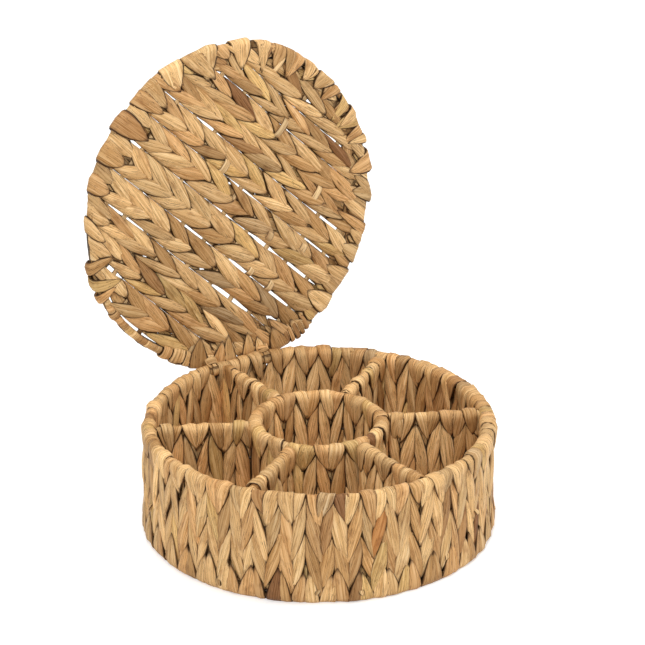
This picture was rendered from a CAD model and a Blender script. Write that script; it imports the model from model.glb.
import bpy
import math
import random
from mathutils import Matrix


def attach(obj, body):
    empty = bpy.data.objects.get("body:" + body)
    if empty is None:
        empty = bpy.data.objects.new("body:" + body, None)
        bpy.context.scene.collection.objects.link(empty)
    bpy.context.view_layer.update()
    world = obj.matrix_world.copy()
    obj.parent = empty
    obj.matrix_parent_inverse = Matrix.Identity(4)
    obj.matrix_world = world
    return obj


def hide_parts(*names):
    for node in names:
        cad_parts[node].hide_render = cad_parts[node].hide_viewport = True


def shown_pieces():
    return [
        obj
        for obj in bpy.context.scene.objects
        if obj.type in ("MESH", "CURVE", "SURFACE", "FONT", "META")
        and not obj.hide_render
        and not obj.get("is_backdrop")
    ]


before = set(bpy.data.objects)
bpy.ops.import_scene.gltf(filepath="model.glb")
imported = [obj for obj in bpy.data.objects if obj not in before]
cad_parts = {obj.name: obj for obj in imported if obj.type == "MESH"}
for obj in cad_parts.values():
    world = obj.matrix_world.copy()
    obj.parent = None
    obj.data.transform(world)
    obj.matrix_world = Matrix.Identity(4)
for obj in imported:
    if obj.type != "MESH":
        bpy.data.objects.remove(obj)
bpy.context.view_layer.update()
scene = bpy.context.scene
MM = 0.001

# The box, in millimetres
RING_R = 120.2  # the wall's rings
HINGE_Y = 117.243  # the straight wire that the lid turns on
FLAT_HALF = 26.5  # half the length of that wire
TOP_Z = 76.5  # the top rings
LEVEL_Z = (52.5, 28.5)  # the upper and the lower rings
BASE_Z = 4.5  # the base ring
BASE_ROW_Z = 3.5
STRIP_PITCH = 22.5
CUP_R = 45.0
CUP_FOOT_Z = 12.2
DIVIDERS = 6
DIVIDER_START = 37.4  # azimuth of the first divider, in degrees
DIVIDER_FROM, DIVIDER_LENGTH = 50.2, 65.0
UNDER_LID = 81.7  # the basket's strands stay below this, clear of the shut lid
LID_OPEN = math.radians(-91.5)  # from shut to the pose that the lid is modelled in
LID_TURN = math.radians(43)  # slant of the lid's rows to the hinge

# Strands side by side
WALL_COLUMNS = 84
WALL_PHASE = math.radians(-3.5)
CUP_COLUMNS = 30
DIVIDER_COLUMNS = 7
BASE_ROWS, BASE_ROW_PITCH = 23, 10.0

luck = random.Random(11)


def deselect():
    bpy.ops.object.select_all(action="DESELECT")


# ---------------------------------------------------------------- camera, light and floor

camera_data = bpy.data.cameras.new("camera")
camera_data.lens = 171.85
camera_data.sensor_width = 36
camera = bpy.data.objects.new("camera", camera_data)
camera.location = (-0.9702, -1.7137, 1.0197)
camera.rotation_euler = (math.radians(66.28), 0, math.radians(-29.6))
scene.collection.objects.link(camera)
scene.camera = camera
scene.view_settings.view_transform = "Standard"


def softbox(name, place, aim, size, power):
    lamp = bpy.data.lights.new(name, "AREA")
    lamp.shape = "DISK"
    lamp.size = size
    lamp.energy = power
    holder = bpy.data.objects.new(name, lamp)
    holder.location = place
    toward = [a - p for a, p in zip(aim, place)]
    flat = math.hypot(toward[0], toward[1])
    holder.rotation_euler = (math.atan2(flat, -toward[2]), 0,
                             math.atan2(toward[1], toward[0]) - math.pi / 2)
    scene.collection.objects.link(holder)


softbox("key_softbox", place=(-1.15, -1.4, 1.55), aim=(0, 0, 0.12), size=0.6, power=23)
softbox("top_softbox", place=(0.1, 0.25, 1.9), aim=(0, 0, 0.1), size=1.0, power=16)
softbox("side_softbox", place=(1.3, -0.7, 0.9), aim=(0, 0, 0.1), size=0.9, power=8)


def camera_white(tree):
    """White to the camera and in reflections, its plain self to the object."""
    nodes, links = tree.nodes, tree.links
    rays = nodes.new("ShaderNodeLightPath")
    either = nodes.new("ShaderNodeMath")
    either.operation = "ADD"
    links.new(rays.outputs["Is Camera Ray"], either.inputs[0])
    links.new(rays.outputs["Is Glossy Ray"], either.inputs[1])
    seen = nodes.new("ShaderNodeMath")
    seen.operation = "ADD"
    seen.use_clamp = True
    links.new(either.outputs[0], seen.inputs[0])
    links.new(rays.outputs["Is Transmission Ray"], seen.inputs[1])
    return seen.outputs[0]


world = bpy.data.worlds.new("studio")
world.use_nodes = True
scene.world = world
tree = world.node_tree
tree.nodes.clear()
seen = camera_white(tree)
plain = tree.nodes.new("ShaderNodeBackground")
plain.inputs["Color"].default_value = (1, 1, 1, 1)
plain.inputs["Strength"].default_value = 0.46
white = tree.nodes.new("ShaderNodeBackground")
white.inputs["Color"].default_value = (1, 1, 1, 1)
white.inputs["Strength"].default_value = 1
mix = tree.nodes.new("ShaderNodeMixShader")
out = tree.nodes.new("ShaderNodeOutputWorld")
tree.links.new(seen, mix.inputs[0])
tree.links.new(plain.outputs[0], mix.inputs[1])
tree.links.new(white.outputs[0], mix.inputs[2])
tree.links.new(mix.outputs[0], out.inputs[0])

deselect()
bpy.ops.mesh.primitive_plane_add(size=6, location=(0, 0, -0.0004))
floor = bpy.context.object
floor.name = "floor"
floor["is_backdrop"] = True
floor_paper = bpy.data.materials.new("white_paper")
floor_paper.use_nodes = True
tree = floor_paper.node_tree
tree.nodes.clear()
seen = camera_white(tree)
paper = tree.nodes.new("ShaderNodeBsdfDiffuse")
paper.inputs["Color"].default_value = (0.9, 0.9, 0.9, 1)
glow = tree.nodes.new("ShaderNodeEmission")
glow.inputs["Color"].default_value = (1, 1, 1, 1)
glow.inputs["Strength"].default_value = 0.34
lit = tree.nodes.new("ShaderNodeAddShader")
share = tree.nodes.new("ShaderNodeMixShader")
out = tree.nodes.new("ShaderNodeOutputMaterial")
tree.links.new(paper.outputs[0], lit.inputs[0])
tree.links.new(glow.outputs[0], lit.inputs[1])
tree.links.new(seen, share.inputs[0])
tree.links.new(paper.outputs[0], share.inputs[1])
tree.links.new(lit.outputs[0], share.inputs[2])
tree.links.new(share.outputs[0], out.inputs[0])
floor.data.materials.append(floor_paper)


# ---------------------------------------------------------------- materials

def shade(red, green, blue):
    """A colour given as on a screen, 0 to 255."""
    return tuple(((c / 255 + 0.055) / 1.055) ** 2.4 for c in (red, green, blue)) + (1,)


def dried_strand(name, pale, mid, dark, brown, crevice):
    """Dried flat plant strand: fine fibres lengthwise, blotches, and a tone of its own each."""
    material = bpy.data.materials.new(name)
    material.use_nodes = True
    tree = material.node_tree
    nodes, links = tree.nodes, tree.links
    shader = nodes["Principled BSDF"]
    shader.inputs["Roughness"].default_value = 0.6
    shader.inputs["Specular IOR Level"].default_value = 0.22

    along = nodes.new("ShaderNodeUVMap")
    along.uv_map = "strand"

    def fibres(across_scale, along_scale, detail):
        stretch = nodes.new("ShaderNodeMapping")
        stretch.inputs["Scale"].default_value = (across_scale, along_scale, 1)
        links.new(along.outputs[0], stretch.inputs[0])
        noise = nodes.new("ShaderNodeTexNoise")
        noise.noise_dimensions = "2D"
        noise.inputs["Scale"].default_value = 1
        noise.inputs["Detail"].default_value = detail
        noise.inputs["Roughness"].default_value = 0.6
        links.new(stretch.outputs[0], noise.inputs["Vector"])
        return noise.outputs["Fac"]

    def maths(kind, first, second=0.0):
        node = nodes.new("ShaderNodeMath")
        node.operation = kind
        for slot, value in zip(node.inputs, (first, second)):
            if isinstance(value, (int, float)):
                slot.default_value = value
            else:
                links.new(value, slot)
        return node.outputs[0]

    def blend(share, first, second):
        node = nodes.new("ShaderNodeMix")
        node.data_type = "RGBA"
        links.new(share, node.inputs[0])
        for slot, value in zip(node.inputs[6:8], (first, second)):
            if isinstance(value, tuple):
                slot.default_value = value
            else:
                links.new(value, slot)
        return node.outputs[2]

    def eased(value, start, stop, most=1.0):
        node = nodes.new("ShaderNodeMapRange")
        node.interpolation_type = "SMOOTHSTEP"
        links.new(value, node.inputs["Value"])
        node.inputs["From Min"].default_value = start
        node.inputs["From Max"].default_value = stop
        node.inputs["To Max"].default_value = most
        return node.outputs[0]

    broad = fibres(across_scale=0.75, along_scale=0.02, detail=2)
    fine = fibres(across_scale=2.2, along_scale=0.04, detail=3)
    blotch = fibres(across_scale=0.14, along_scale=0.07, detail=3)
    grain = maths("ADD", maths("MULTIPLY", fine, 0.6), maths("MULTIPLY", broad, 0.4))

    ramp = nodes.new("ShaderNodeValToRGB")
    ramp.color_ramp.elements[0].position = 0.3
    ramp.color_ramp.elements[0].color = dark
    ramp.color_ramp.elements[1].position = 0.7
    ramp.color_ramp.elements[1].color = pale
    middle = ramp.color_ramp.elements.new(0.5)
    middle.color = mid
    links.new(grain, ramp.inputs[0])

    # brown patches where the blotches are strongest
    patch_from, patch_gain = 0.53, 3.1
    patch = nodes.new("ShaderNodeClamp")
    links.new(maths("MULTIPLY", maths("SUBTRACT", blotch, patch_from), patch_gain),
              patch.inputs[0])
    colour = blend(patch.outputs[0], ramp.outputs[0], brown)

    # the strand's own tint, whose alpha tells how near its edge or end a point is
    tint = nodes.new("ShaderNodeAttribute")
    tint.attribute_name = "tint"
    own = nodes.new("ShaderNodeMix")
    own.data_type = "RGBA"
    own.blend_type = "MULTIPLY"
    own.inputs[0].default_value = 1
    links.new(colour, own.inputs[6])
    links.new(tint.outputs["Color"], own.inputs[7])

    # dark along the edges, in the gaps between strands and in a few deep fibres
    edge_share, line_at, line_half, line_share = 0.92, 0.46, 0.012, 0.7
    edge = maths("MULTIPLY", eased(tint.outputs["Alpha"], start=0.3, stop=0.8), edge_share)
    gap = nodes.new("ShaderNodeAmbientOcclusion")
    gap.samples = 8
    gap.only_local = True
    gap.inputs["Distance"].default_value = 0.0018
    worn = maths("MAXIMUM", edge, eased(gap.outputs["AO"], start=0.94, stop=0.6, most=0.95))
    off_line = maths("ABSOLUTE", maths("SUBTRACT", broad, line_at))
    line = maths("MULTIPLY", maths("LESS_THAN", off_line, line_half), line_share)
    final = blend(maths("MAXIMUM", worn, line), own.outputs[2], crevice)
    links.new(final, shader.inputs["Base Color"])

    bump = nodes.new("ShaderNodeBump")
    bump.inputs["Strength"].default_value = 0.55
    bump.inputs["Distance"].default_value = 0.0004
    links.new(grain, bump.inputs["Height"])
    links.new(bump.outputs[0], shader.inputs["Normal"])
    return material


straw = dried_strand("dried_straw_strand", pale=shade(240, 206, 156), mid=shade(217, 174, 117),
                     dark=shade(162, 115, 60), brown=shade(164, 119, 72),
                     crevice=shade(54, 27, 4))
peel = dried_strand("pale_cross_strip", pale=shade(234, 202, 152), mid=shade(220, 182, 130),
                    dark=shade(184, 140, 92), brown=shade(170, 126, 82),
                    crevice=shade(90, 58, 32))


def wire_finish():
    """Drawn steel wire, dulled by handling."""
    material = bpy.data.materials.new("dull_steel_wire")
    material.use_nodes = True
    nodes, links = material.node_tree.nodes, material.node_tree.links
    shader = nodes["Principled BSDF"]
    shader.inputs["Metallic"].default_value = 1
    place = nodes.new("ShaderNodeTexCoord")
    noise = nodes.new("ShaderNodeTexNoise")
    noise.inputs["Scale"].default_value = 900
    noise.inputs["Detail"].default_value = 4
    links.new(place.outputs["Object"], noise.inputs["Vector"])
    ramp = nodes.new("ShaderNodeValToRGB")
    ramp.color_ramp.elements[0].color = shade(62, 52, 44)
    ramp.color_ramp.elements[1].color = shade(104, 92, 80)
    links.new(noise.outputs["Fac"], ramp.inputs[0])
    links.new(ramp.outputs[0], shader.inputs["Base Color"])
    rough = nodes.new("ShaderNodeMapRange")
    rough.inputs["To Min"].default_value = 0.35
    rough.inputs["To Max"].default_value = 0.6
    links.new(noise.outputs["Fac"], rough.inputs[0])
    links.new(rough.outputs[0], shader.inputs["Roughness"])
    return material


steel = wire_finish()
for name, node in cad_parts.items():
    node.data.materials.clear()
    node.data.materials.append(steel if "wire" in name or "frame" in name else straw)


# ---------------------------------------------------------------- the strands, modelled once

# The points round a strand, counted from the middle of its face, and how dark its edges are
SECTION = 8
FACE, CORNERS, EDGES = 0, (1, 7), (2, 6)
EDGE_DARK = {**dict.fromkeys(EDGES, 1), **dict.fromkeys(CORNERS, 0.4)}
END_DARK = 0.8
CORNER_SPREAD = 1.14  # flattens the round section
RIDGE_SHIFT = 0.2
FIBRE_SLIP = 400  # each strand shows another stretch of the fibre pattern
TURNS = 1.06  # a wound strand closes on itself with a short lap


def width_at(stations, y):
    return min(stations, key=lambda station: abs(station[0] - y))[1]


def model_strand(name, stations, crease=0.0, ridge=0.0):
    """A strand laid straight along Y, one unit long, wide and thick, drawn out from a ring of
    points; each station is its place along Y, its width and its thickness. A crease sinks the
    middle of the face, or lifts it if below zero, and a ridge moves it sideways."""
    deselect()
    bpy.ops.mesh.primitive_circle_add(vertices=SECTION, radius=0.5, fill_type="NGON",
                                      location=(0, stations[0][0], 0),
                                      rotation=(math.pi / 2, 0, 0))
    strand = bpy.context.object
    strand.name = name
    bpy.ops.object.transform_apply(location=True, rotation=True, scale=True)
    bpy.ops.object.mode_set(mode="EDIT")
    bpy.ops.mesh.select_all(action="SELECT")
    width, thick = stations[0][1:]
    bpy.ops.transform.resize(value=(width, 1, thick), center_override=(0, stations[0][0], 0))
    for before, after in zip(stations, stations[1:]):
        bpy.ops.mesh.extrude_region_move(
            TRANSFORM_OT_translate={"value": (0, after[0] - before[0], 0)})
        bpy.ops.transform.resize(value=(after[1] / before[1], 1, after[2] / before[2]),
                                 center_override=(0, after[0], 0))
    bpy.ops.mesh.select_all(action="SELECT")
    bpy.ops.mesh.normals_make_consistent(inside=False)
    bpy.ops.mesh.select_all(action="DESELECT")
    bpy.ops.object.mode_set(mode="OBJECT")
    for index, point in enumerate(strand.data.vertices):
        if index % SECTION in CORNERS:
            point.co.x *= CORNER_SPREAD
        elif index % SECTION == FACE:
            point.co.z -= crease * point.co.z
            point.co.x += ridge * RIDGE_SHIFT * width_at(stations, point.co.y)
    bpy.ops.object.shade_smooth()
    drawn = strand.data.uv_layers[0] if strand.data.uv_layers else strand.data.uv_layers.new()
    drawn.name = "strand"
    strand.data.attributes.new("tint", "FLOAT_COLOR", "POINT")
    strand.data.materials.append(straw)
    return strand


def even_stations(steps):
    return [(-0.5 + step / steps, 1.0, 1.0) for step in range(steps + 1)]


# Stations of a pointed leaf, and of one with more of them in the middle, where it folds over
LEAF = [(-0.5, 0.07, 0.45), (-0.42, 0.4, 0.75), (-0.31, 0.72, 0.95), (-0.16, 0.96, 1.0),
        (0.0, 1.0, 1.0), (0.16, 0.9, 1.0), (0.31, 0.66, 0.95), (0.42, 0.36, 0.75),
        (0.5, 0.07, 0.45)]
FOLD = [(-0.5, 0.06, 0.35), (-0.41, 0.42, 0.65), (-0.29, 0.78, 0.9), (-0.18, 0.96, 1.0),
        (-0.12, 1.0, 1.0), (-0.06, 1.0, 1.0), (0.0, 1.0, 1.0), (0.06, 1.0, 1.0),
        (0.12, 1.0, 1.0), (0.18, 0.96, 1.0), (0.29, 0.78, 0.9), (0.41, 0.42, 0.65),
        (0.5, 0.06, 0.35)]
WIND = [(-0.5, 0.5, 0.5)] + [(-0.46 + 0.92 * step / 12, 1.0, 1.0) for step in range(13)] + [
    (0.5, 0.5, 0.5)]
leaves = [model_strand("flat_strand", LEAF), model_strand("creased_strand", LEAF, crease=0.75),
          model_strand("ridged_strand", LEAF, crease=-0.25, ridge=0.6)]
folds = [model_strand("flat_fold", FOLD), model_strand("creased_fold", FOLD, crease=0.7),
         model_strand("ridged_fold", FOLD, crease=-0.2, ridge=-0.6)]
winding = model_strand("wound_strand", WIND)
cane = model_strand("split_cane", even_stations(24))
loop = model_strand("loop_strand", even_stations(26))


def lay(template, place, width, length, tint, edge_dark=1.0):
    """One copy of a strand, each point carried to its place; millimetres in, metres out."""
    strand = template.copy()
    strand.data = template.data.copy()
    mesh = strand.data
    shades = []
    slip = (luck.uniform(0, FIBRE_SLIP), luck.uniform(0, FIBRE_SLIP))
    flat = [(point.co.x, point.co.y) for point in mesh.vertices]
    for index, point in enumerate(mesh.vertices):
        x, y, h = point.co
        edge = edge_dark * EDGE_DARK.get(index % SECTION, 0)
        shades += [*tint, max(edge, END_DARK * abs(2 * y) ** 6)]
        point.co = [value * MM for value in place(x, y, h)]
    mesh.attributes["tint"].data.foreach_set("color", shades)
    uv = []
    for corner in mesh.loops:
        x, y = flat[corner.vertex_index]
        uv += [x * width + slip[0], y * length + slip[1]]
    mesh.uv_layers["strand"].data.foreach_set("uv", uv)
    return strand


def gather(strands, name, body, nodes, finish=straw):
    """Joins laid strands into one piece that stands for its CAD nodes."""
    deselect()
    for strand in strands:
        scene.collection.objects.link(strand)
        strand.select_set(True)
    bpy.context.view_layer.objects.active = strands[0]
    bpy.ops.object.join()
    piece = bpy.context.object
    piece.name = name
    piece.data.name = name
    if finish is not straw:
        piece.data.materials.clear()
        piece.data.materials.append(finish)
    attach(piece, body)
    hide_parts(*nodes)


# How a strand's own colour departs from plain straw, and how often; orange only where it's placed
TINTS = {"straw": ((1.0, 1.0, 1.0), 12), "pale": ((1.1, 1.14, 1.18), 4),
         "rosy": ((0.93, 0.85, 0.79), 5), "olive": ((0.95, 0.97, 0.86), 2),
         "tan": ((0.78, 0.71, 0.63), 3.5), "brown": ((0.56, 0.47, 0.4), 0.8),
         "dark": ((0.36, 0.26, 0.21), 0.06), "grey": ((0.7, 0.72, 0.78), 0.3),
         "orange": ((0.86, 0.6, 0.4), 0)}
LIGHTNESS, LIGHTNESS_SPREAD = 0.99, 0.11

# Strands inside the box have kept more of their light colour than those outside
INSIDE = 1.13
RIM_KEPT, INNER_RIM_KEPT = 1.05, 1.08


def own_tint(kind=None, kept=1.0):
    if kind is None:
        kind = luck.choices(list(TINTS), [often for _, often in TINTS.values()])[0]
    light = kept * luck.gauss(LIGHTNESS, LIGHTNESS_SPREAD)
    return [value * light for value in TINTS[kind][0]]


# ---------------------------------------------------------------- where strands lie

EDGE_TUCK, MOST_PRESSED = 0.45, 3
ROOM, DIVIDER_ROOM = 9.0, 6.1  # half the width that a strand may take between its neighbours
STRAIGHT_FROM_Z, STRAIGHT_OVER = 40, 30  # where the wall begins to straighten towards the hinge
OUTER_RISE = 0.45  # strands on the outside of the wall may stand higher than on top of it


def held(value, low, high, soft=1.6):
    """Keeps a strand between its neighbours: where they press on it, its edge is also pushed in.
    Gives the place across and how far in."""
    free = value
    for bound, sign in ((low, -1), (high, 1)):
        over = sign * (value - bound) + soft
        if over > 0:
            value = bound - sign * soft * math.exp(-over / soft)
    return value, EDGE_TUCK * min(MOST_PRESSED, abs(free - value))


def pressed(value, limit, soft=1.0):
    """A value that eases off as it comes near a limit, where another piece lies against it."""
    over = value - limit + soft
    return value if over <= 0 else limit - soft * math.exp(-over / soft)


def around(radius, azimuth, room=ROOM):
    """An upright round surface: across, out and height become a point."""
    def put(across, out, z):
        across, inward = held(across, -room, room)
        angle = azimuth + across / radius
        r = radius + out - math.copysign(inward, out)
        return r * math.cos(angle), r * math.sin(angle), pressed(z, UNDER_LID)
    return put


def wall_at(azimuth, room=ROOM, top=UNDER_LID):
    """The wall, which is straight where the hinge is."""
    def put(across, out, z):
        across, inward = held(across, -room, room)
        out -= math.copysign(inward, out)
        angle = azimuth + across / RING_R
        x, y = RING_R * math.cos(angle), RING_R * math.sin(angle)
        if y > 0 and abs(x) < FLAT_HALF:
            pull = 1 - (y - HINGE_Y) / RING_R
            near_top = min(1, max(0, (z - STRAIGHT_FROM_Z) / STRAIGHT_OVER))
            x, y = x * (1 + (pull - 1) * near_top), y + (HINGE_Y - y) * near_top
        scale = 1 + out / RING_R
        return x * scale, y * scale, pressed(z, top + OUTER_RISE * max(0, out))
    return put


def divider_at(index, distance):
    """A divider; the outer end of the second one leaves room for a hinge tie."""
    angle = math.radians(DIVIDER_START + 360 / DIVIDERS * index)
    c, s = math.cos(angle), math.sin(angle)
    beside_tie, tie_room = 100, 2.4

    def put(across, out, z):
        across, inward = held(across, -DIVIDER_ROOM, DIVIDER_ROOM)
        r, out = distance + across, out - math.copysign(inward, out)
        if index == 1 and r > beside_tie:
            out = -pressed(-out, tie_room)
        return r * c + out * s, r * s - out * c, pressed(z, UNDER_LID)
    return put


def swing(along):
    """How far a strand has swung across its row, from one edge through the middle to the other."""
    share = min(1, abs(along))
    return math.copysign(0.4 * math.sin(share * math.pi / 2) + 0.6 * share, along)


def strand_on(put, level, side, lean, length, width, thick, lift, shift, kind=None, kept=1.0):
    """A strand that crosses one wire: its ends dive in beside its neighbours, the upper end
    early, the lower end only at its tip."""
    length *= luck.uniform(0.88, 1.12)
    width *= luck.uniform(0.86, 1.28)
    shift *= luck.uniform(0.65, 1.3)
    bow = luck.uniform(-0.8, 0.8)
    roll = luck.uniform(-0.16, 0.16)
    level += luck.uniform(-3, 3)
    lift += luck.uniform(-0.6, 0.6)
    arch = luck.uniform(0.8, 1.8)
    top_dive, low_dive = luck.uniform(2.4, 3.4), luck.uniform(0.5, 1.5)

    def place(x, y, h):
        along = 2 * y
        across = x * width + lean * shift * swing(along) + bow * (1 - along * along)
        dive = top_dive * along ** 1.5 if y > 0 else low_dive * along ** 4
        out = lift - dive + h * thick + roll * x * width - arch * 4 * x * x
        return put(side * across, side * out, level + y * length)
    return lay(luck.choice(leaves), place, width, length, own_tint(kind, kept))


def strand_over(put, level, up, lean, leg, width, thick, lift, shift, floor_z=None,
                kind=None, loose=0.6, kept=1.0):
    """A strand folded over a wire, up over the rim or down under the base; its two legs draw in
    towards their ends."""
    leg_draw = 1.8
    leg *= luck.uniform(0.85, 1.15)
    width *= luck.uniform(0.9, 1.25)
    shift *= luck.uniform(0.7, 1.3)
    rise = luck.uniform(-0.3, loose)
    bend = lift + rise
    arc = math.pi * bend / 2
    length = 2 * (leg + arc)
    sway = luck.uniform(-0.6, 0.6)
    roll = luck.uniform(-0.12, 0.12)
    arch = luck.uniform(0.0, 0.8)

    def place(x, y, h):
        s = y * length
        reach = bend + h * thick + roll * x * width - arch * 4 * x * x
        if abs(s) < arc:
            turn = s / bend
            out, z = -reach * math.sin(turn), reach * math.cos(turn)
        else:
            past = (abs(s) - arc) / leg
            out = -math.copysign(reach - leg_draw * past ** 2, s)
            z = -(abs(s) - arc)
        across = x * width + lean * shift * swing(2 * y) + sway
        x3, y3, z3 = put(up * across, out, level + up * z)
        if floor_z is not None:
            z3 = max(z3, floor_z)
        return x3, y3, z3
    return lay(luck.choice(folds), place, width, length, own_tint(kind, kept))


def strand_round(put, level, width, thick, radius, travel=0.0, turns=TURNS, kind=None):
    """A strand wound round a wire; the wire runs across, and travel carries it along the wire."""
    length = 2 * math.pi * radius * turns
    start = luck.uniform(2, 3.6)

    def place(x, y, h):
        turn = start + 2 * math.pi * turns * y
        reach = radius + h * thick + 0.5 * y
        return put(x * width + travel * y, -reach * math.sin(turn), level + reach * math.cos(turn))
    return lay(winding, place, width, length, own_tint(kind), edge_dark=0.6)


# ---------------------------------------------------------------- the wall and its rim

# The strands of each band: length or length of the legs, width, thickness, how far they stand off
# the wire and how far they swing sideways
WALL_STRAND = dict(width=10.8, thick=3.0, lift=3.4, shift=5.2)
WALL_RIM = dict(width=11.8, thick=2.8, shift=4.3)
WALL_FOOT = dict(leg=20, width=11.2, thick=2.6, lift=4.9, shift=3.0)
BEHIND_TIE = dict(length=27, width=10, thick=2.4, lift=2.2, shift=1.5)
CUP_STRAND = dict(length=45, thick=2.8, lift=3.2, shift=3.9)
CUP_RIM = dict(leg=17, width=12.2, thick=2.6, lift=3.6, shift=4.6)
CUP_FOOT = dict(leg=12, width=11.4, thick=2.4, lift=3.0, shift=3.0)
DIVIDER_STRAND = dict(length=45, width=10.6, thick=2.8, lift=3.0, shift=3.9)
DIVIDER_TOP = dict(leg=17, width=11.6, thick=2.5, lift=3.3, shift=4.4)
DIVIDER_FOOT = dict(leg=12, width=11.0, thick=2.4, lift=2.9, shift=3.0)
BASE_STRAND = dict(width=10.6, thick=2.6, lift=2.1, shift=2.6)
LASHING = dict(leg=15, width=9.5, thick=1.8, lift=4.4, shift=3.0)

# Strands of the wall whose colour stands out: column, then level and side, or the edge
ODD_WALL = {(57, "rim"): "grey", (58, "rim"): "dark", (57, 52.5, 1): "brown",
            (61, 52.5, 1): "orange", (53, "foot"): "dark", (54, "foot"): "tan",
            (60, 28.5, 1): "tan", (62, 28.5, 1): "rosy", (56, 28.5, 1): "tan",
            (49, 52.5, 1): "tan", (51, 52.5, 1): "rosy", (59, "rim"): "pale"}

# Cut ends of strands that stick out between the others: azimuth, height, width and colour
LOOSE_ENDS = ((230.0, 13, 3.6, "pale"), (241.0, 12, 3.4, "pale"), (253.5, 11, 3.4, "pale"),
              (286.0, 20, 3.8, "pale"), (207.0, 10, 3.4, "pale"), (301.0, 40, 4.4, "pale"),
              (20.0, 12, 3.6, None), (75.0, 11, 3.4, "pale"), (140.0, 13, 3.8, None),
              (170.0, 34, 3.4, "pale"), (330.0, 13, 3.6, "pale"))

WALL_TOP = TOP_Z + 2.5  # the wall's own strands end here, under the rim's
TIE_GAP = (16.2, 26.8)  # the rim is bare here, on either side of the middle, for the hinge ties
TIE_AZIMUTHS = (79.6, 100.4)
BEHIND_TIE_Z = 59
FULLEST_RIM = math.radians(25)


def loose_end(put, z, width, kind):
    """The end of a strand, tucked out and down."""
    length, drop, from_wire = 8, 6, 3.0
    bend, slant = luck.uniform(0.8, 1.4), luck.uniform(-3, 3)

    def place(x, y, h):
        past = y + 0.5
        out = from_wire + 3.0 * math.sin(past * 2.2) * bend + h * 1.6
        return put(x * width + slant * past, out, max(0.6, z - drop * past + 1.5 * h))
    return lay(leaves[1], place, width, length, own_tint(kind))


def weave_wall():
    step = 2 * math.pi / WALL_COLUMNS
    upper, lower, rim, foot = [], [], [], []
    for column in range(WALL_COLUMNS):
        lean = 1 if column % 2 else -1
        azimuth = (column + 0.5) * step + WALL_PHASE + luck.uniform(-0.007, 0.007)
        put = wall_at(azimuth, luck.uniform(6.0, 7.8), WALL_TOP)
        over, top = wall_at(azimuth), wall_at(azimuth, luck.uniform(5.0, 7.4))
        for side in (1, -1):
            for level, rise, length, row in ((LEVEL_Z[0], 2, 52, upper),
                                             (LEVEL_Z[1], 0, 46, lower)):
                row.append(strand_on(put, level + rise, side, lean, length, **WALL_STRAND,
                                     kind=ODD_WALL.get((column, level, side)),
                                     kept=1.0 if side > 0 else INSIDE))
        x = RING_R * math.cos(azimuth)
        if math.sin(azimuth) < 0 or not TIE_GAP[0] < abs(x) < TIE_GAP[1]:
            fuller = 1.3 * max(0, math.cos(azimuth - FULLEST_RIM))
            rim.append(strand_over(top, TOP_Z, 1, lean, leg=luck.uniform(12, 23),
                                   lift=3.6 + fuller, **WALL_RIM,
                                   kind=ODD_WALL.get((column, "rim")), loose=0.9,
                                   kept=RIM_KEPT))
        foot.append(strand_over(over, BASE_Z, -1, lean, **WALL_FOOT, floor_z=0.0,
                                kind=ODD_WALL.get((column, "foot"))))
    for degrees in TIE_AZIMUTHS:
        for side in (1, -1):
            for across, lean in ((-3.4, 1), (3.4, -1)):
                put = wall_at(math.radians(degrees) + across / RING_R, top=TOP_Z - 4)
                upper.append(strand_on(put, BEHIND_TIE_Z, side, lean, **BEHIND_TIE))
    for degrees, z, width, kind in LOOSE_ENDS:
        foot.append(loose_end(wall_at(math.radians(degrees)), z, width, kind))
    gather(upper, "wall_strands_upper", "basket", ["wall_row_upper", "wall_row_middle"])
    gather(lower, "wall_strands_lower", "basket", ["wall_row_lower"])
    gather(rim, "rim_strands", "basket", ["rim_wrap"])
    gather(foot, "base_edge_strands", "basket", ["base_edge_wrap"])


# ---------------------------------------------------------------- the cup and the dividers

def weave_cup():
    step = 2 * math.pi / CUP_COLUMNS
    upper, lower, rim, foot = [], [], [], []
    for column in range(CUP_COLUMNS):
        lean = 1 if column % 2 else -1
        azimuth = (column + 0.5) * step + luck.uniform(-0.015, 0.015)
        put, over = around(CUP_R, azimuth, luck.uniform(5.2, 6.4)), around(CUP_R, azimuth)
        for side in (1, -1):
            for level, row in ((LEVEL_Z[0], upper), (LEVEL_Z[1], lower)):
                row.append(strand_on(put, level, side, lean, width=11.2 if side > 0 else 9.8,
                                     **CUP_STRAND, kept=INSIDE))
        rim.append(strand_over(over, TOP_Z, 1, lean, **CUP_RIM, kept=INNER_RIM_KEPT))
        foot.append(strand_over(over, CUP_FOOT_Z, -1, lean, **CUP_FOOT))
    gather(upper, "cup_strands_upper", "basket", ["cup_row_upper", "cup_row_middle"])
    gather(lower, "cup_strands_lower", "basket", ["cup_row_lower"])
    gather(rim, "cup_rim_strands", "basket", ["cup_rim_wrap"])
    gather(foot, "cup_foot_strands", "basket", ["cup_foot_wrap"])


def weave_dividers():
    pitch = DIVIDER_LENGTH / DIVIDER_COLUMNS
    for index in range(DIVIDERS):
        strands = []
        for column in range(DIVIDER_COLUMNS):
            lean = 1 if column % 2 else -1
            put = divider_at(index, DIVIDER_FROM + (column + 0.5) * pitch)
            for side in (1, -1):
                for level in LEVEL_Z:
                    strands.append(strand_on(put, level, side, lean, **DIVIDER_STRAND,
                                             kept=INSIDE))
            strands.append(strand_over(put, TOP_Z, 1, lean, **DIVIDER_TOP, kept=INNER_RIM_KEPT))
            strands.append(strand_over(put, CUP_FOOT_Z, -1, lean, **DIVIDER_FOOT))
        gather(strands, f"divider_strands_{index + 1}", "basket",
               [f"divider_weave_{index + 1}"])


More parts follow.
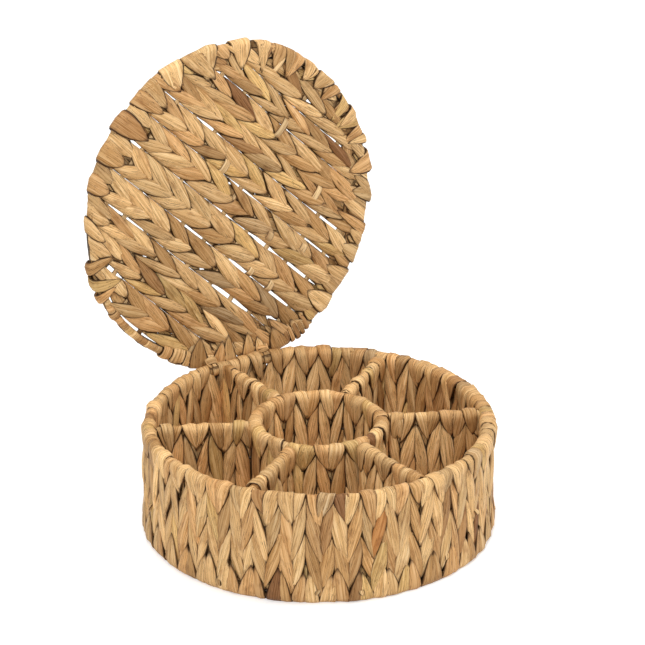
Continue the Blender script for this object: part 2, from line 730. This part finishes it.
def lash_dividers():
    strands = []
    for index in range(DIVIDERS):
        for distance, lean in ((56.1, 1), (107.9, -1)):
            put = divider_at(index, distance)
            strands.append(strand_over(put, TOP_Z, 1, lean, **LASHING))
    gather(strands, "divider_lashing_strands", "basket", ["divider_lashings"])


# ---------------------------------------------------------------- the base

BASE_REACH = 114.8
BASE_TOP, BASE_EDGE = 0.0088, 0.1160  # metres: how high and how far out its strands may lie


def base_row(y_row):
    def put(across, out, along):
        return along, y_row - across, BASE_ROW_Z + out
    return put


def weave_base():
    strands = []
    for row in range(BASE_ROWS):
        y_row = (row - BASE_ROWS // 2) * BASE_ROW_PITCH
        reach = math.sqrt(BASE_REACH ** 2 - y_row ** 2)
        lean = 1 if row % 2 else -1
        inner = [strip * STRIP_PITCH for strip in range(-5, 6)
                 if abs(strip) * STRIP_PITCH < reach - 14]
        for middle in [6 - reach] + inner + [reach - 6]:
            length = 34 if abs(middle) < reach - 10 else 30
            for side in (1, -1):
                strands.append(strand_on(base_row(y_row), middle, side, lean, length,
                                         **BASE_STRAND))
    for strand in strands:
        for point in strand.data.vertices:
            point.co.z = min(max(point.co.z, 0), BASE_TOP)
            r = math.hypot(point.co.x, point.co.y)
            if r > BASE_EDGE:
                point.co.x *= BASE_EDGE / r
                point.co.y *= BASE_EDGE / r
    gather(strands, "base_strands", "basket", ["base_weave"])


# ---------------------------------------------------------------- the lid

# Where its rows lie, from its upper left edge on, and its cross strips
LID_ROWS = (-99.5, -89.2, -80.4, -72.9, -63.8, -53.8, -46.9, -39.0, -28.8, -18.8, -9.6,
            1.7, 13.8, 25.8, 37.5, 48.3, 58.3, 66.3, 74.6, 84.2, 92.5, 103.3)
LAST_ROW = len(LID_ROWS) - 1
STRIPS = (-87.0, -68.0, -45.5, -23.0, 0.0, 25.0, 48.0, 68.0, 92.0)
LID_R = 114.0  # its ring
LID_AHEAD, LID_RISE = 122.3, 10  # from the hinge wire to the middle of the shut lid
LID_OVAL = 1.02
LID_FACE = 4.5  # the inner face stays within this of the lid's middle, clear of the rim
NO_STRIP = 12  # the ring's wraps leave no room for a strand nearer to the ring than this


def lid_point(x, y, z):
    """From the closed lid's own middle to its open place; the real lid is slightly oval."""
    y, z = y * LID_OVAL - LID_AHEAD, z + LID_RISE
    c, s = math.cos(LID_OPEN), math.sin(LID_OPEN)
    return x, HINGE_Y + y * c - z * s, TOP_Z + y * s + z * c


# How far the hand-woven lid's edge lies off a true circle: azimuth from the rows, and distance
LID_SWELL = ((-180, -1.0), (-150, 0.9), (-125, 1.5), (-112, 0.6), (-95, -2.2), (-60, -2.2),
             (-42, -2.0), (-25, -0.2), (0, 1.8), (12, 4.0), (30, 4.2), (38, 1.2), (55, 0.4),
             (64, 2.6), (80, 2.8), (105, 1.8), (118, 0.6), (128, -1.8), (150, -1.6),
             (165, -1.2), (180, -1.0))


def lid_swell(degrees):
    for (start, before), (stop, after) in zip(LID_SWELL, LID_SWELL[1:]):
        if degrees <= stop:
            break
    return before + (after - before) * (degrees - start) / (stop - start)


def lid_row_point(along, across, out):
    """Rows run at a slant to the hinge line."""
    reach = math.hypot(along, across)
    swell = 1 + lid_swell(math.degrees(math.atan2(across, along))) * reach / LID_R ** 2
    along, across = along * swell, across * swell
    out = -pressed(-out, LID_FACE)
    c, s = math.cos(LID_TURN), math.sin(LID_TURN)
    return lid_point(along * c - across * s, along * s + across * c, out)


# Long slits between two rows: after which row, from where to where along it, and how wide
SLITS = ((11, -112, -88, 2.4), (7, -62, -44, 2.0), (3, -84, -66, 2.2), (9, -10, 15, 1.6),
         (15, -80, -50, 1.6), (13, -28, 2, 1.7), (11, -8, 8, 1.6), (11, 29, 55, 3.2),
         (11, 66, 97, 2.4), (13, 27, 49, 2.8), (15, 28, 66, 3.4), (13, 65, 92, 2.4),
         (19, -63, -40, 3.2), (7, 61, 97, 2.0), (9, 68, 95, 1.6), (1, 37, 51, 1.4),
         (1, 66, 76, 2.0))
PAIR_LAP = 4.5  # how far the two rows of a pair overlap


def opening(row, along):
    """Rows are plaited in pairs: within a pair they overlap, and pairs leave slits here and
    there."""
    if row % 2 == 0:
        return -PAIR_LAP
    gap = -1.5 + 0.9 * math.sin(along / 13 + 1.7 * row)
    for after, start, stop, wide in SLITS:
        if after == row:
            middle, half = (start + stop) / 2, (stop - start) / 2
            gap = max(gap, 0.85 * wide * math.exp(-((along - middle) / half) ** 4))
    return gap


def lid_row(row):
    y_row, outside = LID_ROWS[row], 5
    above = (LID_ROWS[row - 1] + y_row) / 2 if row else y_row - outside
    below = (LID_ROWS[row + 1] + y_row) / 2 if row < LAST_ROW else y_row + outside

    def put(across, out, along):
        low = above + opening(row - 1, -along) / 2
        high = below - opening(row, -along) / 2
        y, inward = held(y_row + across, low, high, soft=1.2)
        edge = math.sqrt(max(LID_R ** 2 - y * y, 0)) + 1
        return lid_row_point(min(max(-along, -edge), edge), y, out - math.copysign(inward, out))
    return put


def lid_edge_at(azimuth):
    """Across the ring, at an azimuth counted from the rows."""
    def put(across, out, along):
        angle = azimuth - across / LID_R
        return lid_row_point(along * math.cos(angle), along * math.sin(angle), out)
    return put


def lid_along_ring(azimuth, radius):
    """Along the ring, at a distance from the lid's middle."""
    def put(across, out, along):
        angle = azimuth + along / radius
        reach = radius + across
        return lid_row_point(reach * math.cos(angle), reach * math.sin(angle), out)
    return put


def lid_row_end(y_row, end):
    """Where a row meets the ring: the strand leaves the row straight and folds over the ring."""
    nearest = 30

    def put(across, out, along):
        y = y_row - end * across
        rise = math.sqrt(max(LID_R ** 2 - y * y, nearest ** 2)) - LID_R
        return lid_row_point(end * (along + rise), y, out)
    return put


# Strands of the lid's inner face whose colour stands out: row and cross strip
ODD_LID = {(4, 2): "dark", (7, 0): "rosy", (6, 0): "tan", (9, 1): "rosy", (9, 2): "tan",
           (11, 2): "rosy", (4, 4): "tan", (4, 6): "tan", (4, 8): "brown", (9, 6): "tan",
           (7, 6): "tan", (18, 2): "rosy", (16, 3): "tan", (18, 3): "brown", (12, 8): "tan",
           (17, 6): "grey", (14, 8): "tan"}


def weave_lid():
    outside, longest = 9.5, 40
    for row, y_row in enumerate(LID_ROWS):
        reach = math.sqrt(LID_R ** 2 - y_row ** 2)
        lean = -1 if row % 2 else 1
        above = LID_ROWS[row - 1] if row else y_row - outside
        below = LID_ROWS[row + 1] if row < LAST_ROW else y_row + outside
        width = (below - above) / 2
        strands = []
        for strip, middle in enumerate(STRIPS):
            if abs(middle) > reach - NO_STRIP:
                continue
            length = min(longest, 2 * (reach - abs(middle)) + 4)
            for side in (1, -1):
                kind = ODD_LID.get((row, strip)) if side < 0 else None
                strands.append(strand_on(lid_row(row), -middle, side, lean, length,
                                         width=width * 1.08, thick=2.5, lift=2.6,
                                         shift=width * 0.5, kind=kind))
        gather(strands, f"lid_strands_{row + 1:02d}", "lid", [f"lid_row_{row + 1:02d}"])


# Where a cross strip shows over the lid's rows: how far along them, and from where to where across
BARED = ((-37, -91.7, -110.2), (55, -38.0, -52.5), (72, -3.5, -11.8), (42, 4.5, -3.5),
         (71.3, 77.5, 90.0), (43, 93.5, 102.4), (96, 45.5, 59.5), (-24, -12.5, -24.5),
         (-3.5, -58.5, -75.5), (66.5, 23.5, 33.0), (46, 25.0, 32.5))
CANE_WIDTH, BARED_WIDTH = 4.4, 5.4


def bared_strip(along, start, stop):
    """A short length of cross strip that lies over the rows, its ends tucked in."""
    length, swell = abs(stop - start), luck.uniform(0.85, 1.1)

    def place(x, y, h):
        out = 3.7 - 3.0 * abs(2 * y) ** 3 + 1.2 * h
        return lid_row_point(along + x * BARED_WIDTH * swell + 0.8 * y,
                             (start + stop) / 2 + y * length, -out)
    return lay(cane, place, 4.6, length, own_tint("pale"))


def wavy_cane(put, middle, half):
    """A split cane that the rows are woven round, a little wavy."""
    waver, swell = luck.uniform(-0.8, 0.8), luck.uniform(0.9, 1.1)

    def place(x, y, h):
        along = 2 * y * half
        sway = waver * math.sin(along / 17) + 0.4 * math.sin(along / 7 + middle)
        return put(middle + x * CANE_WIDTH * swell + sway, along,
                   h * 1.3 + 0.35 * math.sin(along / 4.9))
    return lay(cane, place, CANE_WIDTH, 2 * half, own_tint("pale"))


def lay_cross_strips(name, node, body, middles, reach, put, strands):
    """Cross strips within a circle of radius reach, joined to other strands of the same piece."""
    canes = [wavy_cane(put, middle, math.sqrt(reach ** 2 - middle ** 2)) for middle in middles]
    gather(strands + canes, name, body, [node], peel)


# Wraps of the lid's ring that stand out: azimuth, width, thickness, how far they stand off the
# wire, length of the legs, slant and colour
ODD_WRAPS = ((-155, 19, 2.6, 5.2, 15, 2.0, "pale"), (-166, 14, 2.4, 4.4, 18, -2.0, None),
             (-141, 15, 2.4, 4.8, 16, 3.0, "pale"), (-128, 17, 2.6, 5.4, 15, -2.0, None),
             (-116, 6, 2.2, 5.0, 17, 5.0, "brown"), (-107, 10, 2.4, 5.2, 14, -3.0, "tan"),
             (-50, 15, 3.0, 5.6, 16, -4.0, "rosy"), (-58, 8, 2.4, 5.0, 11, 3.0, None),
             (-37, 12, 2.6, 5.0, 14, 3.0, "pale"), (118, 11, 3.0, 5.0, 20, 6.0, None),
             (29, 15, 2.6, 6.2, 13, -3.0, "tan"), (42, 12, 2.2, 5.0, 13, 2.0, None),
             (49, 13, 2.4, 7.2, 15, -4.0, None), (55, 12, 2.4, 7.6, 12, 4.0, "rosy"),
             (61, 14, 2.6, 7.0, 15, -5.0, "tan"), (36, 10, 2.2, 5.6, 10, -3.0, None),
             (124, 9, 2.6, 5.6, 15, -3.0, "tan"), (112, 7, 2.2, 5.0, 12, -2.0, "rosy"))
# Bundles wound round the ring: azimuth, width, thickness, radius, colour
BUNDLES = ((66, 9, 2.8, 5.4, None), (71, 11, 2.6, 5.0, None), (76, 8, 2.2, 4.2, "rosy"),
           (17, 3.6, 2.2, 5.6, "brown"), (19.2, 3.2, 2.2, 6.6, "tan"),
           (21.4, 3.4, 2.4, 7.4, "brown"), (23.6, 3.2, 2.2, 6.8, "rosy"),
           (25.8, 3.6, 2.2, 5.8, "brown"), (103, 5, 1.8, 3.4, "rosy"))

# Torn leaf edges that curl on the ring: azimuth, distance off the wire, radius of the curl, colour
CURLS = ((-79, 1.5, 1.8, "brown"), (-72, 0.5, 2.2, "tan"), (-66, 1.0, 1.7, "pale"),
         (-61, 0.8, 2.0, "brown"), (-55, 0.5, 1.8, "tan"), (-96, 1.0, 2.0, "tan"))

# Wraps where the rows run along the ring, and turns of a thin strand at the lid's foot: how many,
# about which azimuth and over how many degrees
SIDE_WRAPS = (18, -90, 66)
FOOT_TURNS = (26, 90, 64)


def spread_over(index, shift, count, middle, degrees):
    """The azimuth of one of several wraps spread over part of the ring."""
    return math.radians(middle + degrees * ((index + shift) / count - 0.5))


def wrap_row_ends():
    """The ends of the lid's rows, folded over its ring."""
    strands = []
    last_wrapped, shortest, longest, without_strip = 96, 11, 24, 16
    for row, y_row in enumerate(LID_ROWS):
        if abs(y_row) > last_wrapped:
            continue
        width = (LID_ROWS[row + 1] - LID_ROWS[row - 1]) / 2
        for end in (1, -1):
            lean = end * (1 if row % 2 else -1)
            reach = math.sqrt(LID_R ** 2 - y_row ** 2)
            inside = [abs(strip) for strip in STRIPS if strip * end > 0
                      and abs(strip) < reach - NO_STRIP]
            leg = without_strip
            if inside:
                leg = min(longest, max(shortest, reach - max(inside) - 4))
            strands.append(strand_over(lid_row_end(y_row, end), LID_R, 1, lean, leg,
                                       width=width * 1.25, thick=2.4, lift=3.2, shift=1.6,
                                       loose=2.2))
            strands.append(strand_over(lid_row_end(y_row + width / 2, end), LID_R, 1, lean,
                                       leg * 0.7, width=width * 0.7, thick=2.0, lift=2.7,
                                       shift=1.4, loose=0.6))
    return strands


def wrap_lid_ring():
    strands = wrap_row_ends()
    for wrap in range(SIDE_WRAPS[0]):
        azimuth = spread_over(wrap, luck.uniform(0.2, 0.8), *SIDE_WRAPS)
        strands.append(strand_over(lid_edge_at(azimuth), LID_R, 1, 1 if wrap % 2 else -1,
                                   leg=luck.uniform(7, 17), width=luck.uniform(8, 14),
                                   thick=2.2, lift=2.9, shift=luck.uniform(1.5, 6.5),
                                   loose=2.2))
    for degrees in range(-132, -12, 11):
        for radius, side in ((103.5, -1), (108.5, 1)):
            strands.append(strand_on(lid_along_ring(math.radians(degrees), radius), 0, side, 1,
                                     length=32, width=9.5, thick=2.0, lift=0.8, shift=2.5))
    for degrees, off, curl, kind in CURLS:
        strands.append(strand_round(lid_edge_at(math.radians(degrees)), LID_R + off, width=4.6,
                                    thick=0.9, radius=curl, travel=3.0, turns=1.3, kind=kind))
    for degrees, width, thick, off, leg, slant, kind in ODD_WRAPS:
        strands.append(strand_over(lid_edge_at(math.radians(degrees)), LID_R, 1,
                                   math.copysign(1, slant), leg, width, thick, off, abs(slant),
                                   kind=kind))
    for turn in range(FOOT_TURNS[0]):
        azimuth = spread_over(turn, 0.5, *FOOT_TURNS)
        strands.append(strand_round(lid_edge_at(azimuth), LID_R, width=6.4, thick=1.1,
                                    radius=2.4, travel=4.5))
    for degrees, width, thick, radius, kind in BUNDLES:
        strands.append(strand_round(lid_edge_at(math.radians(degrees)), LID_R, width, thick,
                                    radius, travel=1.5, kind=kind))
    gather(strands, "lid_ring_strands", "lid", ["lid_ring_wrap"])


# ---------------------------------------------------------------- the hinge ties

TIE_X, TIE_ROOM = 21.5, 3.5  # distance of each tie from the middle, and half its width
RING_AT = (10.2, 7.785)  # the lid's ring wire behind and above the hinge line, in the open pose
SPAN = math.hypot(*RING_AT)
TILT = math.atan2(RING_AT[1], RING_AT[0])

# The turns of a tie, from the inside out: sideways shift, width, colour and skew
TIE_TURNS = ((-2.6, 4.8, "tan", -0.6), (2.4, 4.6, "rosy", 0.6), (-0.1, 7.0, "straw", 0.9))


def tie_point(x, along, off):
    """From the tie's own line, hinge wire to ring wire, to the open lid."""
    return (x, HINGE_Y + along * math.cos(TILT) - off * math.sin(TILT),
            TOP_Z + along * math.sin(TILT) + off * math.cos(TILT))


def tie_hinge(side, name):
    """Strands wound round the rim's wire and the lid's ring, carried along by the lid."""
    strands = []
    for turn, (shift, width, kind, skew) in enumerate(TIE_TURNS):
        strands.append(hinge_loop_strand(side * TIE_X + shift, width, thick=0.9,
                                         rim=3.3 + 0.45 * turn, ring=3.2 + 0.4 * turn,
                                         kind=kind, skew=skew))
    for along, kind in ((0.4, "tan"), (0.62, None)):
        strands.append(tie_binding(side * TIE_X, along * SPAN, kind))
    gather(strands, name, "lid", ["hinge_loop_" + name.split("_")[2]])


def hinge_loop_strand(x, width, thick, rim, ring, kind, skew):
    """One closed turn: half round the rim's wire, straight, half round the ring, straight back,
    and drawn together between the two."""
    half = math.pi * rim
    round_ring = math.pi * ring
    length = half + round_ring + 2 * SPAN
    lap = 1.03

    def place(px, y, h):
        s = (y + 0.5) * length * lap % length
        reach = h * thick
        if s < half:
            turn = math.pi / 2 + s / rim
            u, r = 0, rim + reach
        elif s < half + SPAN:
            turn = -math.pi / 2
            u, r = s - half, rim + (ring - rim) * (s - half) / SPAN + reach
        elif s < half + SPAN + round_ring:
            turn = -math.pi / 2 + (s - half - SPAN) / ring
            u, r = SPAN, ring + reach
        else:
            back = s - half - SPAN - round_ring
            turn = math.pi / 2
            u, r = SPAN - back, ring + (rim - ring) * back / SPAN + reach
        middle = math.sin(math.pi * min(1, max(0, u / SPAN)))
        along, off = u + r * math.cos(turn), r * math.sin(turn) * (1 - 0.55 * middle)
        slide = skew * middle if off > 0 else 0
        swell = 0.85 + 0.25 * math.sin(9.4 * y + skew)
        across, _ = held(px * width * swell, -TIE_ROOM, TIE_ROOM, soft=0.6)
        return tie_point(x + slide + across, along, off)
    return lay(loop, place, width, length, own_tint(kind), edge_dark=0.5)


def tie_binding(x, along, kind):
    """A strand bound round the tie between its two wires."""
    slant = luck.uniform(-1.2, 1.2)
    width, length, wide_r, thin_r = 3.4, 24, 4.5, 2.7

    def place(px, y, h):
        turn = 2 * math.pi * TURNS * y
        return tie_point(x + (wide_r + h) * math.cos(turn),
                         along + px * width + slant * math.cos(turn),
                         (thin_r + h + 0.4 * y) * math.sin(turn))
    return lay(winding, place, width, length, own_tint(kind), edge_dark=0.5)


weave_wall()
weave_cup()
weave_dividers()
weave_base()
weave_lid()
lay_cross_strips("lid_canes", "lid_cross_strips", "lid", STRIPS, reach=112.4,
                 put=lid_row_point, strands=[bared_strip(*bared) for bared in BARED])
lay_cross_strips("base_canes", "base_cross_strips", "basket",
                 [STRIP_PITCH * (strip - 4) for strip in range(9)], reach=118.6,
                 put=lambda x, y, z: (x, y, BASE_ROW_Z + z), strands=[])
wrap_lid_ring()
lash_dividers()
tie_hinge(-1, "hinge_tie_left")
tie_hinge(1, "hinge_tie_right")

for template in leaves + folds + [winding, cane, loop]:
    bpy.data.objects.remove(template)

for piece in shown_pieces():
    if piece.name.startswith(("hinge_tie", "divider_lashing")):
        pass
    elif piece.name.endswith(("rim_strands", "ring_strands", "edge_strands")):
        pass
    elif "canes" in piece.name:
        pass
    elif "strands" in piece.name:
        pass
